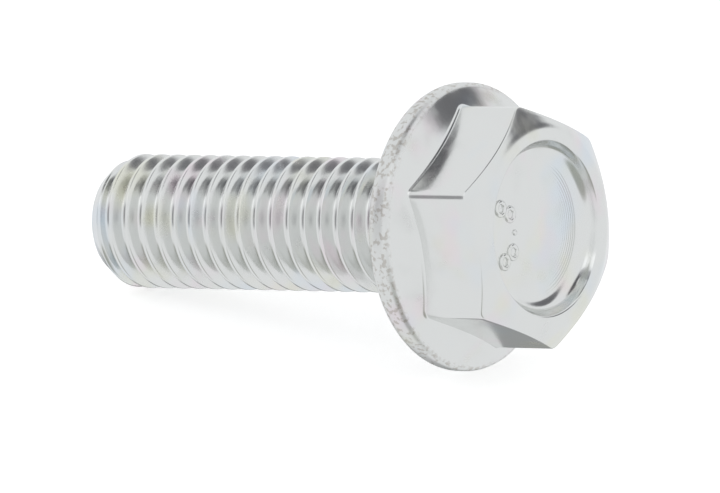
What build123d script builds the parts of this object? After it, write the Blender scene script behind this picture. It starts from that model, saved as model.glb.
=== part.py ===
"""Hexagon flange bolt, M10 x 1.5 x 30, cold forged in one piece with a rolled thread.

The bolt axis is Z and the bearing face under the flange is the plane Z = 0.
The shank points up to its tip at Z = shank_length, and the head hangs below to
Z = -head_height, so the bolt stands on the flat ring round its head recess.
"""

from build123d import *
from math import radians, tan
import os

# --- Driving dimensions, in millimetres and degrees --------------------------------
shank_length = 30.0
thread_major_diameter = 9.85
thread_root_diameter = 8.16
thread_pitch = 1.5
thread_crest_width = 0.26
thread_half_angle = 30.0
thread_start_height = -0.47
tip_end_diameter = 7.9
tip_chamfer_length = 1.5
tip_chamfer_angle = 35.0
neck_fillet = 0.92

head_height = 8.8
across_flats = 15.9
hex_corner_radius = 0.8
hex_chamfer_angle = 30.0
hex_foot_fillet = 0.35
top_ring_diameter = 14.7
top_ring_blend = 1.5

flange_diameter = 21.0
flange_edge_height = 2.0
flange_cone_angle = 25.0
flange_under_round = 1.15
flange_top_round = 0.6

recess_mouth_diameter = 12.8
recess_depth = 1.35
recess_floor_crown = 0.12
recess_draft = 20.0
recess_floor_fillet = 1.1
recess_lip_round = 0.18

# --- Sizes worked out from them ----------------------------------------------------
flange_radius = flange_diameter / 2
hex_inside_radius = across_flats / 2 - 1.0
cone_slope = tan(radians(flange_cone_angle))
cone_top = -flange_edge_height - (flange_radius - hex_inside_radius) * cone_slope
chamfer_slope = tan(radians(hex_chamfer_angle))
top_ring_radius = top_ring_diameter / 2
chamfer_rise = (flange_radius - top_ring_radius) * chamfer_slope

recess_floor = -head_height + recess_depth
recess_mouth_radius = recess_mouth_diameter / 2
draft_slope = tan(radians(recess_draft))
recess_corner_radius = recess_mouth_radius - recess_depth * draft_slope

crest_radius = thread_major_diameter / 2
root_radius = thread_root_diameter / 2
thread_depth = crest_radius - root_radius
flank_slope = tan(radians(thread_half_angle))
ridge_embed = 0.06
ridge_base_half = thread_crest_width / 2 + (thread_depth + ridge_embed) * flank_slope
tip_end_radius = tip_end_diameter / 2
tip_chamfer_radius = tip_end_radius + tip_chamfer_length * tan(radians(tip_chamfer_angle))
thread_overrun = 2 * thread_pitch
clearance = 1.0


def is_foot_of_hexagon(edge: Edge) -> bool:
    """True for a curved edge where a flat or a corner of the hexagon meets the flange cone."""
    height = edge.center().Z
    is_beside_cone = cone_top < height < -flange_edge_height
    is_full_circle = edge.length > across_flats
    return is_beside_cone and not is_full_circle and edge.geom_type != GeomType.LINE


# --- Flange: a disc with a rounded rim and a conical top, its flat face at Z = 0 ---
with BuildPart() as flange:
    with BuildSketch(Plane.XZ) as flange_section:
        with BuildLine():
            Polyline(
                (0, 0),
                (flange_radius, 0),
                (flange_radius, -flange_edge_height),
                (hex_inside_radius, cone_top),
                (0, cone_top),
                close=True,
            )
        make_face()
        rim = flange_section.vertices().group_by(Axis.X)[-1].sort_by(Axis.Y)
        fillet(rim[-1], radius=flange_under_round)
        rim = flange_section.vertices().group_by(Axis.X)[-1].sort_by(Axis.Y)
        fillet(rim[0], radius=flange_top_round)
    revolve(axis=Axis.Z)

# --- Hexagon: rounded corners, its end turned to a chamfer that blends into the ring
with BuildPart() as hexagon:
    with BuildSketch(Plane.XY.offset(-head_height)) as hexagon_outline:
        RegularPolygon(radius=across_flats / 2, side_count=6, major_radius=False)
        fillet(hexagon_outline.vertices(), radius=hex_corner_radius)
    extrude(amount=head_height - flange_edge_height / 2)
    with BuildSketch(Plane.XZ) as chamfer_section:
        with BuildLine():
            Polyline(
                (0, 0),
                (flange_radius, 0),
                (flange_radius, -head_height + chamfer_rise),
                (top_ring_radius, -head_height),
                (0, -head_height),
                close=True,
            )
        make_face()
        ring_corner = chamfer_section.vertices().group_by(Axis.Y)[0].sort_by(Axis.X)[-1]
        fillet(ring_corner, radius=top_ring_blend)
    revolve(axis=Axis.Z, mode=Mode.INTERSECT)

# --- Recess: a dish struck into the head by the punch, with a slightly crowned floor
with BuildPart() as recess:
    with BuildSketch(Plane.XZ) as recess_section:
        with BuildLine():
            crown = recess_floor - recess_floor_crown
            ThreePointArc(
                (-recess_corner_radius, recess_floor),
                (0, crown),
                (recess_corner_radius, recess_floor),
            )
            Polyline(
                (recess_corner_radius, recess_floor),
                (recess_mouth_radius + clearance * draft_slope, -head_height - clearance),
                (-recess_mouth_radius - clearance * draft_slope, -head_height - clearance),
                (-recess_corner_radius, recess_floor),
            )
        make_face()
        fillet(recess_section.vertices().group_by(Axis.Y)[-1], radius=recess_floor_fillet)
        split(bisect_by=Plane.YZ, keep=Keep.TOP)
    revolve(axis=Axis.Z)

# --- Thread: one ridge swept along a helix, from inside the flange to past the tip --
with BuildPart() as thread:
    with BuildLine() as thread_path:
        helix = Helix(
            pitch=thread_pitch,
            height=shank_length + thread_overrun,
            radius=root_radius,
            center=(0, 0, thread_start_height),
        )
    with BuildSketch(Plane(origin=helix @ 0, x_dir=(1, 0, 0), z_dir=helix % 0)):
        with BuildLine():
            Polyline(
                (-ridge_embed, -ridge_base_half),
                (thread_depth, -thread_crest_width / 2),
                (thread_depth, thread_crest_width / 2),
                (-ridge_embed, ridge_base_half),
                close=True,
            )
        make_face()
    sweep(path=thread_path.line, is_frenet=True)

# --- Envelope: a turned outline that leaves the head alone and chamfers the tip -----
with BuildPart() as envelope:
    with BuildSketch(Plane.XZ):
        with BuildLine():
            Polyline(
                (0, -head_height - clearance),
                (flange_radius + clearance, -head_height - clearance),
                (flange_radius + clearance, shank_length / 2),
                (tip_chamfer_radius, shank_length / 2),
                (tip_chamfer_radius, shank_length - tip_chamfer_length),
                (tip_end_radius, shank_length),
                (0, shank_length),
                close=True,
            )
        make_face()
    revolve(axis=Axis.Z)

# --- Bolt: head, recess, core and thread joined into one solid, then cut to outline -
with BuildPart() as bolt:
    add(flange.part)
    add(hexagon.part)
    fillet(bolt.edges().filter_by(is_foot_of_hexagon), radius=hex_foot_fillet)
    add(recess.part, mode=Mode.SUBTRACT)
    lip = bolt.edges().group_by(Axis.Z)[0].sort_by(SortBy.RADIUS)[0]
    fillet(lip, radius=recess_lip_round)
    with Locations((0, 0, -flange_edge_height)):
        Cylinder(
            radius=root_radius,
            height=flange_edge_height + shank_length + thread_overrun,
            align=(Align.CENTER, Align.CENTER, Align.MIN),
        )
    neck = bolt.edges().filter_by(GeomType.CIRCLE).filter_by_position(Axis.Z, -0.01, 0.01)
    fillet(neck.sort_by(SortBy.RADIUS)[0], radius=neck_fillet)
    add(thread.part)
    add(envelope.part, mode=Mode.INTERSECT)

bolt.part.label = "flange_bolt"
os.makedirs("parts", exist_ok=True)
export_step(bolt.part, "parts/flange_bolt.step")
print(f"{bolt.part.label}: {bolt.part.volume:.0f} mm3, solids {len(bolt.part.solids())}")
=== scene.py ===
"""Zinc-plated hexagon flange bolt: fine meshes, finishes, stage, lamps and camera.

The CAD bolt stands on its head with its thread pointing up +Z, and its bearing face is Z = 0.
Every size below is in millimetres and is turned to metres where a mesh is made.
"""

import logging
from dataclasses import dataclass
from enum import Enum
from math import atan2, ceil, cos, hypot, pi, radians, sin, sqrt, tan

import bmesh
import bpy
from mathutils import Matrix, Vector


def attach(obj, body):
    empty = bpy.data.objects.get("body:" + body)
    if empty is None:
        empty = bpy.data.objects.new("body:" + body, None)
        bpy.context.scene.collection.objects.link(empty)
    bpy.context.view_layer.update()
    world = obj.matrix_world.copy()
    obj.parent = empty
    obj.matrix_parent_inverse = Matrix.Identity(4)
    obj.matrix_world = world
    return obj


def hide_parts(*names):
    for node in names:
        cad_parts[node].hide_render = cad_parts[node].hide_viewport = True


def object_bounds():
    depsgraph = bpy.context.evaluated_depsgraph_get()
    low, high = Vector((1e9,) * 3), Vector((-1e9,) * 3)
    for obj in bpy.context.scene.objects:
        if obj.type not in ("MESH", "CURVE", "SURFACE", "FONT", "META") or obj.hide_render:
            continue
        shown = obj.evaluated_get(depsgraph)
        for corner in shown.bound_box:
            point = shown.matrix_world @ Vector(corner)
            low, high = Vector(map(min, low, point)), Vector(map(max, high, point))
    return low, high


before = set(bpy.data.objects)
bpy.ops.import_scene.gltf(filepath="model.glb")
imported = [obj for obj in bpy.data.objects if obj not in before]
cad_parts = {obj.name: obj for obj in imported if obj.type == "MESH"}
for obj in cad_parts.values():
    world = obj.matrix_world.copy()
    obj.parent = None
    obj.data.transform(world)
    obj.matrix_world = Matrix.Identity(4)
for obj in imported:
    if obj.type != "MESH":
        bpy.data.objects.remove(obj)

log = logging.getLogger("flange_bolt")

MM = 0.001
NODE = "flange_bolt"
BODY = "root"

CAD_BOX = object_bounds()


# --- Sections: a chain of corners, each one sharp or rounded --------------------------


@dataclass(frozen=True)
class Corner:
    """One corner of a turned section, in millimetres from the axis and along it.

    radius rounds the corner with arc_steps segments, and line_steps divides the straight
    run from here to the next corner.
    """

    r: float
    z: float
    radius: float = 0.0
    arc_steps: int = 6
    line_steps: int = 1


def rounded_section(corners: list[Corner]) -> list[tuple[float, float]]:
    """Turns corners into section points, always the same number for the same steps.

    Args:
        corners: the corners in order; the first and the last stay sharp.

    Returns:
        The (r, z) points of the chain, in millimetres.
    """
    entries: list[list[Vector]] = [[Vector((corners[0].r, corners[0].z))]]
    for before, here, after in zip(corners, corners[1:], corners[2:]):
        point = Vector((here.r, here.z))
        inward = (Vector((before.r, before.z)) - point).normalized()
        outward = (Vector((after.r, after.z)) - point).normalized()
        if here.radius <= 0.0:
            entries.append([point])
            continue
        half = inward.angle(outward) / 2
        centre = point + (inward + outward).normalized() * (here.radius / sin(half))
        start = point + inward * (here.radius / tan(half)) - centre
        turn = start.angle_signed(point + outward * (here.radius / tan(half)) - centre)
        entries.append(
            [
                centre + Matrix.Rotation(-turn * step / here.arc_steps, 2) @ start
                for step in range(here.arc_steps + 1)
            ]
        )
    entries.append([Vector((corners[-1].r, corners[-1].z))])
    points: list[Vector] = []
    for corner, arc, following in zip(corners, entries, entries[1:]):
        points.extend(arc)
        for step in range(1, corner.line_steps):
            points.append(arc[-1].lerp(following[0], step / corner.line_steps))
    points.extend(entries[-1])
    return [(point.x, point.y) for point in points]


def section_chain(mesh: bmesh.types.BMesh, section: list[tuple[float, float]]) -> list:
    """Adds a section as a chain of edges in the XZ plane.

    Args:
        mesh: the bmesh that receives the chain.
        section: the (r, z) points in millimetres.

    Returns:
        The new vertices followed by the new edges.
    """
    verts = [mesh.verts.new((r * MM, 0.0, z * MM)) for r, z in section]
    edges = [mesh.edges.new(pair) for pair in zip(verts, verts[1:])]
    return verts + edges


def repeat(mesh: bmesh.types.BMesh, places: list[Matrix]) -> None:
    """Copies all that a bmesh holds to each further place.

    Args:
        mesh: the bmesh, which keeps its first copy.
        places: where each copy goes, as a transform of the first.
    """
    first = list(mesh.verts) + list(mesh.edges) + list(mesh.faces)
    for place in places:
        copy = bmesh.ops.duplicate(mesh, geom=first)["geom"]
        verts = [item for item in copy if isinstance(item, bmesh.types.BMVert)]
        bmesh.ops.transform(mesh, matrix=place, verts=verts)


def finish_piece(mesh: bmesh.types.BMesh, name: str) -> bpy.types.Object:
    """Makes an object from a bmesh, at the origin, with smooth faces.

    Args:
        mesh: the finished bmesh, which is freed here.
        name: the piece's name.

    Returns:
        The new object, linked to the scene.
    """
    for face in mesh.faces:
        face.smooth = True
    data = bpy.data.meshes.new(name)
    mesh.to_mesh(data)
    mesh.free()
    piece = bpy.data.objects.new(name, data)
    bpy.context.scene.collection.objects.link(piece)
    return piece


# --- The head --------------------------------------------------------------------------


@dataclass
class HexFlangeHead:
    """The forged head: flange, hexagon, end ring and the dish struck into its end."""

    flange_radius: float
    head_height: float
    root_radius: float = 4.08
    neck_fillet: float = 0.92
    flange_edge_height: float = 2.0
    flange_under_round: float = 1.15
    flange_top_round: float = 0.6
    flange_cone_angle: float = 25.0
    across_flats: float = 15.9
    hex_corner_radius: float = 0.8
    hex_foot_fillet: float = 0.35
    hex_edge_round: float = 0.14
    hex_chamfer_angle: float = 30.0
    top_ring_radius: float = 7.35
    top_ring_blend: float = 1.5
    recess_mouth_radius: float = 6.4
    recess_depth: float = 1.35
    recess_floor_crown: float = 0.12
    recess_draft: float = 20.0
    recess_floor_fillet: float = 1.1
    recess_lip_round: float = 0.18
    columns: int = 480

    @property
    def floor_height(self) -> float:
        """Height of the recess floor at its rim."""
        return -self.head_height + self.recess_depth

    def hexagon_radius(self, angle: float) -> float:
        """Distance from the axis to the hexagon's side at an angle.

        Args:
            angle: direction round the axis from a corner, in radians.

        Returns:
            The distance in millimetres, with the corners rounded.
        """
        sixth = pi / 3
        off = abs((angle + sixth / 2) % sixth - sixth / 2)
        corner_centre = (self.across_flats / 2 - self.hex_corner_radius) / cos(pi / 6)
        arc_end = atan2(
            self.hex_corner_radius * sin(pi / 6),
            corner_centre + self.hex_corner_radius * cos(pi / 6),
        )
        if off < arc_end:
            across = corner_centre * sin(off)
            return corner_centre * cos(off) + sqrt(self.hex_corner_radius**2 - across**2)
        return self.across_flats / 2 / cos(pi / 6 - off)

    def section(self, angle: float) -> list[tuple[float, float]]:
        """The head's section in one direction, from inside the neck to the recess centre.

        Args:
            angle: direction round the axis from a corner of the hexagon, in radians.

        Returns:
            The (r, z) points in millimetres.
        """
        side = self.hexagon_radius(angle)
        cone = tan(radians(self.flange_cone_angle))
        chamfer = tan(radians(self.hex_chamfer_angle))
        draft = tan(radians(self.recess_draft))
        end = -self.head_height
        foot_height = -self.flange_edge_height - (self.flange_radius - side) * cone
        chamfer_height = end + (side - self.top_ring_radius) * chamfer
        floor_radius = self.recess_mouth_radius - self.recess_depth * draft
        crown_height = self.floor_height - self.recess_floor_crown
        return rounded_section(
            [
                Corner(0.0, self.neck_fillet * 1.2),
                Corner(self.root_radius - 0.02, self.neck_fillet * 1.2),
                Corner(self.root_radius - 0.02, 0.0, self.neck_fillet, 5, 6),
                Corner(self.flange_radius, 0.0, self.flange_under_round, 12, 2),
                Corner(self.flange_radius, -self.flange_edge_height, self.flange_top_round, 8, 4),
                Corner(side, foot_height, self.hex_foot_fillet, 6, 10),
                Corner(side, chamfer_height, self.hex_edge_round, 4, 3),
                Corner(self.top_ring_radius, end, self.top_ring_blend, 6, 2),
                Corner(self.recess_mouth_radius, end, self.recess_lip_round, 6, 2),
                Corner(floor_radius, self.floor_height, self.recess_floor_fillet, 10, 16),
                Corner(0.0, crown_height),
            ]
        )

    def build(self) -> bpy.types.Object:
        """Spins one section round the axis, then presses each column to the hexagon.

        Returns:
            The head as one closed mesh.
        """
        mesh = bmesh.new()
        station = mesh.verts.layers.int.new("station")
        chain = section_chain(mesh, self.section(0.0))
        for index, vert in enumerate(v for v in chain if isinstance(v, bmesh.types.BMVert)):
            vert[station] = index
        sixth = self.columns // 6
        bmesh.ops.spin(
            mesh, geom=chain, axis=(0, 0, 1), cent=(0, 0, 0), angle=pi / 3, steps=sixth
        )
        repeat(mesh, [Matrix.Rotation(turn * pi / 3, 4, "Z") for turn in range(1, 6)])
        step = 2 * pi / self.columns
        columns = [self.section(index * step) for index in range(sixth)] * 6
        for vert in mesh.verts:
            angle = atan2(vert.co.y, vert.co.x)
            r, z = columns[round(angle / step) % self.columns][vert[station]]
            if hypot(vert.co.x, vert.co.y) > MM * 1e-3:
                vert.co = (r * cos(angle) * MM, r * sin(angle) * MM, z * MM)
        bmesh.ops.remove_doubles(mesh, verts=mesh.verts, dist=MM * 1e-4)
        bmesh.ops.recalc_face_normals(mesh, faces=mesh.faces)
        return finish_piece(mesh, "forged_head")


# --- The thread ------------------------------------------------------------------------


@dataclass
class RolledThread:
    """The shank: a right-hand thread rolled from under the flange to a chamfered tip."""

    shank_length: float
    crest_radius: float = 4.925
    root_radius: float = 4.08
    pitch: float = 1.5
    crest_width: float = 0.26
    crest_round: float = 0.10
    root_round: float = 0.20
    half_angle: float = 30.0
    tip_end_radius: float = 3.95
    tip_chamfer_angle: float = 35.0
    crest_start: float = -0.47
    start_height: float = -1.0
    steps_per_turn: int = 96

    def section(self) -> list[tuple[float, float]]:
        """One pitch of the thread, from the middle of a root to the middle of the next."""
        slope = tan(radians(self.half_angle))
        root_half = self.pitch / 2 - self.crest_width / 2
        root_half -= (self.crest_radius - self.root_radius) * slope
        crest_half = self.crest_width / 2
        middle = self.pitch / 2
        return rounded_section(
            [
                Corner(self.root_radius, -middle),
                Corner(self.root_radius, -middle + root_half, self.root_round, 3, 3),
                Corner(self.crest_radius, -crest_half, self.crest_round, 4, 1),
                Corner(self.crest_radius, crest_half, self.crest_round, 4, 3),
                Corner(self.root_radius, middle - root_half, self.root_round, 3, 1),
                Corner(self.root_radius, middle),
            ]
        )

    def tip_limit(self, height: float) -> float:
        """The chamfered tip's radius at a height, in millimetres."""
        return self.tip_end_radius + (self.shank_length - height) * tan(
            radians(self.tip_chamfer_angle)
        )

    def build(self) -> bpy.types.Object:
        """Spins one pitch up the axis as a screw, then cuts the tip and closes both ends.

        Returns:
            The shank as one closed mesh.
        """
        mesh = bmesh.new()
        first = self.crest_start - 2 * self.pitch
        turns = ceil((self.shank_length - first) / self.pitch) + 2
        section = [(r, z + first) for r, z in self.section()]
        bmesh.ops.spin(
            mesh, geom=section_chain(mesh, section), axis=(0, 0, 1), cent=(0, 0, 0),
            dvec=(0, 0, self.pitch * MM / self.steps_per_turn), angle=2 * pi,
            steps=self.steps_per_turn,
        )
        lift = self.pitch * MM
        repeat(mesh, [Matrix.Translation((0, 0, turn * lift)) for turn in range(1, turns)])
        bmesh.ops.remove_doubles(mesh, verts=mesh.verts, dist=MM * 1e-3)
        for height, normal in ((self.start_height, (0, 0, -1)), (self.shank_length, (0, 0, 1))):
            bmesh.ops.bisect_plane(
                mesh, geom=list(mesh.verts) + list(mesh.edges) + list(mesh.faces),
                dist=MM * 1e-5, plane_co=(0, 0, height * MM), plane_no=normal,
                clear_outer=True,
            )
        for vert in mesh.verts:
            r = hypot(vert.co.x, vert.co.y)
            limit = self.tip_limit(vert.co.z / MM) * MM
            if r > limit:
                vert.co.xy *= limit / r
        rims = [edge for edge in mesh.edges if edge.is_boundary]
        bmesh.ops.holes_fill(mesh, edges=rims, sides=0)
        bmesh.ops.recalc_face_normals(mesh, faces=mesh.faces)
        return finish_piece(mesh, "rolled_thread")


# --- Property class marks ----------------------------------------------------------------


@dataclass
class ClassMarks:
    """The raised property class 8.8 in the recess: two eights of rings and a point."""

    floor_height: float
    digit_radius: float = 3.55
    digit_spread: float = 28.0
    direction: float = -83.5
    point_radius: float = 2.24
    point_size: float = 0.24
    ring_radius: float = 0.47
    ring_reach: float = 0.60
    bead_radius: float = 0.19

    def add_ring(self, mesh: bmesh.types.BMesh, distance: float, angle: float) -> None:
        """Spins a small bead into one ring that lies on the recess floor.

        Args:
            mesh: the bmesh that receives the ring.
            distance: the ring's centre from the bolt axis, in millimetres.
            angle: the ring's direction from a hexagon corner, in radians.
        """
        centre = Vector((distance * cos(angle), distance * sin(angle), self.floor_height)) * MM
        bead = bmesh.ops.create_circle(
            mesh, segments=12, radius=self.bead_radius * MM,
            matrix=Matrix.Translation(centre + Vector((self.ring_radius * MM, 0, 0)))
            @ Matrix.Rotation(pi / 2, 4, "X"),
        )["verts"]
        edges = list({edge for vert in bead for edge in vert.link_edges})
        bmesh.ops.spin(
            mesh, geom=bead + edges, cent=centre, axis=(0, 0, 1), angle=2 * pi,
            steps=36, use_merge=True,
        )

    def build(self) -> bpy.types.Object:
        """Makes both digits and the point as one piece."""
        mesh = bmesh.new()
        for side in (-1, 1):
            angle = radians(self.direction + side * self.digit_spread)
            for reach in (-self.ring_reach, self.ring_reach):
                self.add_ring(mesh, self.digit_radius + reach, angle)
        middle = radians(self.direction)
        place = Vector((cos(middle), sin(middle), 0.0)) * self.point_radius
        bmesh.ops.create_uvsphere(
            mesh, u_segments=24, v_segments=12, radius=self.point_size * MM,
            matrix=Matrix.Translation((place + Vector((0, 0, self.floor_height))) * MM),
        )
        bmesh.ops.recalc_face_normals(mesh, faces=mesh.faces)
        return finish_piece(mesh, "class_marks")


# --- Finishes ----------------------------------------------------------------------------


class Wear(Enum):
    """How a zinc finish has been marked."""

    HEAD = "head"
    THREAD = "thread"


def link_chain(tree: bpy.types.NodeTree, kind: str, inputs: list, **settings: str) -> object:
    """Adds a node, sets its named settings and feeds its inputs in order.

    Args:
        tree: the node tree.
        kind: the node's type name.
        inputs: for each input, a socket to link, a plain value, or None to leave it.
        settings: attributes of the node, such as operation.

    Returns:
        The node's first output socket.
    """
    node = tree.nodes.new(kind)
    for name, value in settings.items():
        setattr(node, name, value)
    for socket, value in zip(node.inputs, inputs):
        if isinstance(value, bpy.types.NodeSocket):
            tree.links.new(value, socket)
        elif value is not None:
            socket.default_value = value
    return node.outputs[0]


def noise_value(tree: bpy.types.NodeTree, place: object, scale: float, detail: float) -> object:
    """Adds 3-D noise at a scale per metre and returns its value socket."""
    return link_chain(tree, "ShaderNodeTexNoise", [place, None, scale, detail])


def ramp(tree: bpy.types.NodeTree, value: object, low: float, high: float,
         start: float = 0.0, end: float = 1.0) -> object:
    """Maps a value smoothly from low..high to start..end."""
    return link_chain(
        tree, "ShaderNodeMapRange", [value, low, high, start, end],
        interpolation_type="SMOOTHSTEP",
    )


def mix_colour(tree: bpy.types.NodeTree, mask: object, first: object, second: object) -> object:
    """Blends two colours, each a socket or an RGBA value, by a mask."""
    node = tree.nodes.new("ShaderNodeMix")
    node.data_type = "RGBA"
    for index, value in ((0, mask), (6, first), (7, second)):
        if isinstance(value, bpy.types.NodeSocket):
            tree.links.new(value, node.inputs[index])
        else:
            node.inputs[index].default_value = value
    return node.outputs[2]


def passivate_group() -> bpy.types.NodeTree:
    """Makes the shared passivate film: the zinc colour with slow tints of interference."""
    group = bpy.data.node_groups.new("passivate_film", "ShaderNodeTree")
    group.interface.new_socket("Place", in_out="INPUT", socket_type="NodeSocketVector")
    group.interface.new_socket("Colour", in_out="OUTPUT", socket_type="NodeSocketColor")
    place = group.nodes.new("NodeGroupInput").outputs[0]
    colour = (0.80, 0.81, 0.80, 1.0)
    for scale, tint in (
        (210.0, (0.84, 0.83, 0.64, 1.0)),
        (260.0, (0.86, 0.72, 0.79, 1.0)),
        (170.0, (0.66, 0.77, 0.90, 1.0)),
    ):
        mask = ramp(group, noise_value(group, place, scale, 2.0), 0.52, 0.75, 0.0, 0.42)
        colour = mix_colour(group, mask, colour, tint)
    output = group.nodes.new("NodeGroupOutput")
    group.links.new(colour, output.inputs[0])
    return group


@dataclass(frozen=True)
class ZincPlate:
    """Bright zinc plate over steel, with the marks that its place on the bolt gets."""

    name: str
    wear: Wear
    roughness: float
    grain_scale: float = 2600.0
    grain_depth: float = 0.000004
    ring_pitch: float = 0.00024
    ring_depth: float = 1.6
    rim_start: float = 0.0100
    rim_end: float = 0.0104
    rim_roughness: float = 0.22
    bump_strength: float = 0.6
    dirt: tuple[float, float, float, float] = (0.44, 0.40, 0.35, 1.0)

    def ring_height(self, tree: bpy.types.NodeTree, place: object) -> tuple[object, object]:
        """The turning rings of the punch on the head's end and in its recess.

        Args:
            tree: the material's node tree.
            place: the object coordinates.

        Returns:
            The rings' height from 0 to 1, and the distance from the bolt axis.
        """
        flat = link_chain(tree, "ShaderNodeVectorMath", [place, (1, 1, 0)], operation="MULTIPLY")
        node = tree.nodes.new("ShaderNodeVectorMath")
        node.operation = "LENGTH"
        tree.links.new(flat, node.inputs[0])
        distance = node.outputs["Value"]
        phase = link_chain(
            tree, "ShaderNodeMath", [distance, 2 * pi / self.ring_pitch], operation="MULTIPLY"
        )
        wave = link_chain(tree, "ShaderNodeMath", [phase], operation="SINE")
        parts = link_chain(tree, "ShaderNodeSeparateXYZ", [place]).node.outputs
        near_end = ramp(tree, parts["Z"], -0.0071, -0.0074)
        inside = ramp(tree, distance, 0.0054, 0.0050)
        both = link_chain(tree, "ShaderNodeMath", [near_end, inside], operation="MULTIPLY")
        return link_chain(tree, "ShaderNodeMath", [wave, both], operation="MULTIPLY"), distance

    def material(self, film: bpy.types.NodeTree) -> bpy.types.Material:
        """Makes the finish.

        Args:
            film: the shared passivate film.

        Returns:
            The new material.
        """
        made = bpy.data.materials.new(self.name)
        made.use_nodes = True
        tree = made.node_tree
        shader = tree.nodes["Principled BSDF"]
        shader.inputs["Metallic"].default_value = 1.0
        place = tree.nodes.new("ShaderNodeTexCoord").outputs["Object"]
        tint = tree.nodes.new("ShaderNodeGroup")
        tint.node_tree = film
        tree.links.new(place, tint.inputs[0])
        grain = noise_value(tree, place, self.grain_scale, 4.0)
        smudge = noise_value(tree, place, 420.0, 5.0)
        rough = ramp(tree, smudge, 0.45, 0.75, self.roughness, self.roughness + 0.16)
        colour = tint.outputs[0]
        height = grain
        if self.wear is Wear.HEAD:
            rings, distance = self.ring_height(tree, place)
            height = link_chain(
                tree, "ShaderNodeMath", [rings, self.ring_depth, grain], operation="MULTIPLY_ADD"
            )
            rim = ramp(tree, distance, self.rim_start, self.rim_end)
            speck = ramp(tree, noise_value(tree, place, 2800.0, 4.0), 0.50, 0.62, 0.0, 0.55)
            spots = link_chain(tree, "ShaderNodeMath", [rim, speck], operation="MULTIPLY")
            colour = mix_colour(tree, spots, colour, self.dirt)
            rough = link_chain(
                tree, "ShaderNodeMath", [rim, self.rim_roughness, rough], operation="MULTIPLY_ADD"
            )
        tree.links.new(colour, shader.inputs["Base Color"])
        tree.links.new(rough, shader.inputs["Roughness"])
        bump = tree.nodes.new("ShaderNodeBump")
        bump.inputs["Strength"].default_value = self.bump_strength
        bump.inputs["Distance"].default_value = self.grain_depth
        tree.links.new(height, bump.inputs["Height"])
        tree.links.new(bump.outputs[0], shader.inputs["Normal"])
        return made


# --- Stage, studio and camera ---------------------------------------------------------------


@dataclass
class View:
    """How the bolt is seen: its head towards the viewer and its thread to the left."""

    axis_tilt: float = 37.3
    roll: float = 1.1
    corner_phase: float = 15.9
    table_tilt: float = 19.9
    lens: float = 1000.0
    sensor: float = 36.0
    frame_width: float = 52.33
    aim: tuple[float, float] = (-7.427, -1.446)
    aim_height: float = -1.1

    def model_axes(self) -> tuple[Vector, Vector, Vector]:
        """The bolt's X, Y and Z as the viewer sees them: right, up and towards the viewer."""
        tilt, roll, phase = (
            radians(value) for value in (self.axis_tilt, self.roll, self.corner_phase)
        )
        z_axis = -Vector((cos(tilt) * cos(roll), -cos(tilt) * sin(roll), sin(tilt)))
        level = Vector((sin(roll), cos(roll), 0.0))
        facing = Vector((sin(tilt) * cos(roll), -sin(tilt) * sin(roll), -cos(tilt)))
        x_axis = cos(phase) * level - sin(phase) * facing
        return x_axis, z_axis.cross(x_axis), z_axis

    def to_model(self, seen: tuple[float, float, float]) -> Vector:
        """Turns a direction given as right, up and towards the viewer into the bolt's frame."""
        return Vector([axis.dot(Vector(seen)) for axis in self.model_axes()])

    def place_camera(self) -> None:
        """Adds the camera and makes it the scene's own."""
        data = bpy.data.cameras.new("camera")
        data.lens, data.sensor_width, data.sensor_fit = self.lens, self.sensor, "HORIZONTAL"
        data.clip_end = 20.0
        right, up, back = (self.to_model(v) for v in ((1, 0, 0), (0, 1, 0), (0, 0, 1)))
        target = Vector((0, 0, self.aim_height)) + right * self.aim[0] + up * self.aim[1]
        distance = self.frame_width * self.lens / self.sensor
        turn = Matrix((right, up, back)).transposed().to_4x4()
        camera = bpy.data.objects.new("camera", data)
        camera.matrix_world = Matrix.Translation((target + back * distance) * MM) @ turn
        bpy.context.scene.collection.objects.link(camera)
        bpy.context.scene.camera = camera


@dataclass(frozen=True)
class Panel:
    """A soft round patch of the studio that the metal mirrors, given as the viewer sees it."""

    seen: tuple[float, float, float]
    reach: float
    softness: float
    level: tuple[float, float, float, float]


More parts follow.
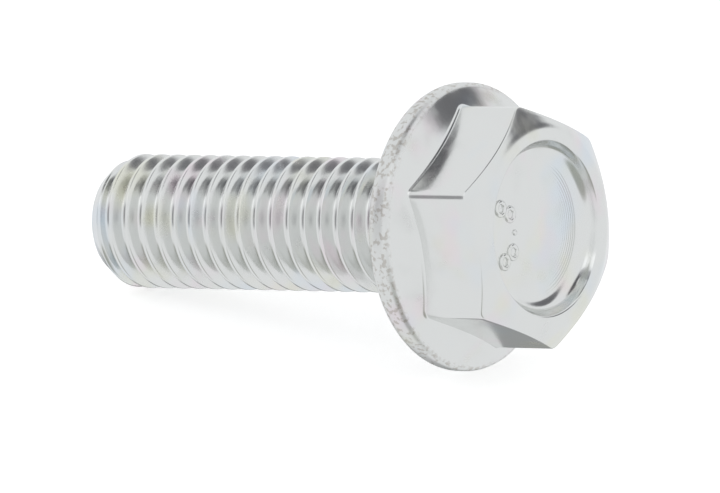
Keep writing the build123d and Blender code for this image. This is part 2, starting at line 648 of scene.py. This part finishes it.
@dataclass
class Studio:
    """The light tent: a white room with a few darker openings, one lamp and two pale cards."""

    view: View
    ambient: tuple[float, float, float, float] = (0.86, 0.87, 0.88, 1.0)
    panels: tuple[Panel, ...] = (
        Panel((-0.10, 0.93, 0.30), 17.0, 8.0, (0.12, 0.12, 0.13, 1.0)),
        Panel((-0.15, 0.93, 0.34), 4.0, 3.0, (0.80, 0.80, 0.80, 1.0)),
        Panel((0.84, 0.48, -0.15), 11.0, 8.0, (0.16, 0.16, 0.17, 1.0)),
        Panel((-0.06, -0.38, -0.92), 16.0, 9.0, (0.33, 0.34, 0.34, 1.0)),
        Panel((0.10, -0.80, 0.45), 20.0, 14.0, (0.42, 0.43, 0.40, 1.0)),
        Panel((-0.95, 0.15, 0.25), 10.0, 8.0, (0.34, 0.34, 0.35, 1.0)),
    )
    lamp_power: float = 0.05
    card_size: float = 0.9

    def world(self) -> None:
        """Makes the room: white to the camera, and the panels to everything else."""
        world = bpy.data.worlds.new("tent")
        bpy.context.scene.world = world
        world.use_nodes = True
        tree = world.node_tree
        background = tree.nodes["Background"]
        direction = tree.nodes.new("ShaderNodeTexCoord").outputs["Generated"]
        colour = self.ambient
        for panel in self.panels:
            node = tree.nodes.new("ShaderNodeVectorMath")
            node.operation = "DOT_PRODUCT"
            tree.links.new(direction, node.inputs[0])
            node.inputs[1].default_value = self.view.to_model(panel.seen).normalized()
            mask = ramp(
                tree, node.outputs["Value"],
                cos(radians(panel.reach + panel.softness)), cos(radians(panel.reach)),
            )
            colour = mix_colour(tree, mask, colour, panel.level)
        path = tree.nodes.new("ShaderNodeLightPath").outputs["Is Camera Ray"]
        tree.links.new(mix_colour(tree, path, colour, (1, 1, 1, 1)), background.inputs["Color"])

    def card_material(self, name: str, glow: float) -> bpy.types.Material:
        """A pale card seen from its front alone, bright enough to melt into the room.

        Args:
            name: the material's name.
            glow: the light that the card adds of itself.

        Returns:
            The new material.
        """
        made = bpy.data.materials.new(name)
        made.use_nodes = True
        tree = made.node_tree
        tree.nodes.remove(tree.nodes["Principled BSDF"])
        diffuse = link_chain(tree, "ShaderNodeBsdfDiffuse", [(0.80, 0.80, 0.80, 1.0)])
        light = link_chain(tree, "ShaderNodeEmission", [(1, 1, 1, 1), glow])
        front = link_chain(tree, "ShaderNodeAddShader", [diffuse, light])
        hollow = link_chain(tree, "ShaderNodeBsdfTransparent", [])
        back = tree.nodes.new("ShaderNodeNewGeometry").outputs["Backfacing"]
        both = link_chain(tree, "ShaderNodeMixShader", [back, front, hollow])
        tree.links.new(both, tree.nodes["Material Output"].inputs["Surface"])
        return made

    def card(self, name: str, normal: Vector, height: float, glow: float) -> bpy.types.Object:
        """Adds a square card whose front faces along a normal.

        Args:
            name: the card's name.
            normal: the way its front faces, in the bolt's frame.
            height: its distance from the origin along the normal, in metres.
            glow: the light that it adds of itself.

        Returns:
            The card.
        """
        mesh = bmesh.new()
        turn = normal.to_track_quat("Z", "Y").to_matrix().to_4x4()
        bmesh.ops.create_grid(
            mesh, x_segments=1, y_segments=1, size=self.card_size,
            matrix=Matrix.Translation(normal * height) @ turn,
        )
        piece = finish_piece(mesh, name)
        piece.data.materials.append(self.card_material(name, glow))
        return piece

    def build(self, pieces: list[bpy.types.Object]) -> None:
        """Builds the room, the cards and the lamp round the finished pieces.

        Args:
            pieces: the bolt's pieces, which rest on the cards.
        """
        self.world()
        floor = self.card("floor", Vector((0, 0, 1)), CAD_BOX[0][2], 0.56)
        floor.visible_shadow = floor.visible_diffuse = floor.visible_glossy = False
        tilt = radians(self.view.table_tilt)
        normal = self.view.to_model((0, cos(tilt), sin(tilt)))
        lowest = min(normal.dot(v.co) for piece in pieces for v in piece.data.vertices)
        table = self.card("table", normal, lowest - 0.02 * MM, 0.56)
        table.visible_glossy = False
        data = bpy.data.lights.new("key", "AREA")
        data.size, data.energy = 0.25, self.lamp_power
        lamp = bpy.data.objects.new("key", data)
        place = self.view.to_model((-0.15, 0.32, 0.28))
        aim = place.to_track_quat("Z", "Y").to_matrix().to_4x4()
        lamp.matrix_world = Matrix.Translation(place) @ aim
        bpy.context.scene.collection.objects.link(lamp)


def main() -> None:
    """Builds the bolt, its finishes, the stage, the lamps and the camera."""
    logging.basicConfig(level=logging.INFO, format="%(name)s: %(message)s")
    low, high = (Vector(corner) / MM for corner in CAD_BOX)
    head = HexFlangeHead(flange_radius=high.x, head_height=-low.z)
    film = passivate_group()
    head_finish = ZincPlate("zinc_head", Wear.HEAD, 0.14).material(film)
    thread_finish = ZincPlate("zinc_thread", Wear.THREAD, 0.17).material(film)
    marks = ClassMarks(floor_height=head.floor_height - head.recess_floor_crown * 0.64 + 0.06)
    pieces = {
        head.build(): head_finish,
        RolledThread(shank_length=high.z).build(): thread_finish,
        marks.build(): head_finish,
    }
    for piece, finish in pieces.items():
        piece.data.materials.append(finish)
        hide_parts(NODE)
        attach(piece, BODY)
        log.info("%s has %d faces", piece.name, len(piece.data.polygons))
    view = View()
    Studio(view).build(list(pieces))
    view.place_camera()
    bpy.context.scene.view_settings.view_transform = "Standard"


if __name__ == "__main__":
    main()
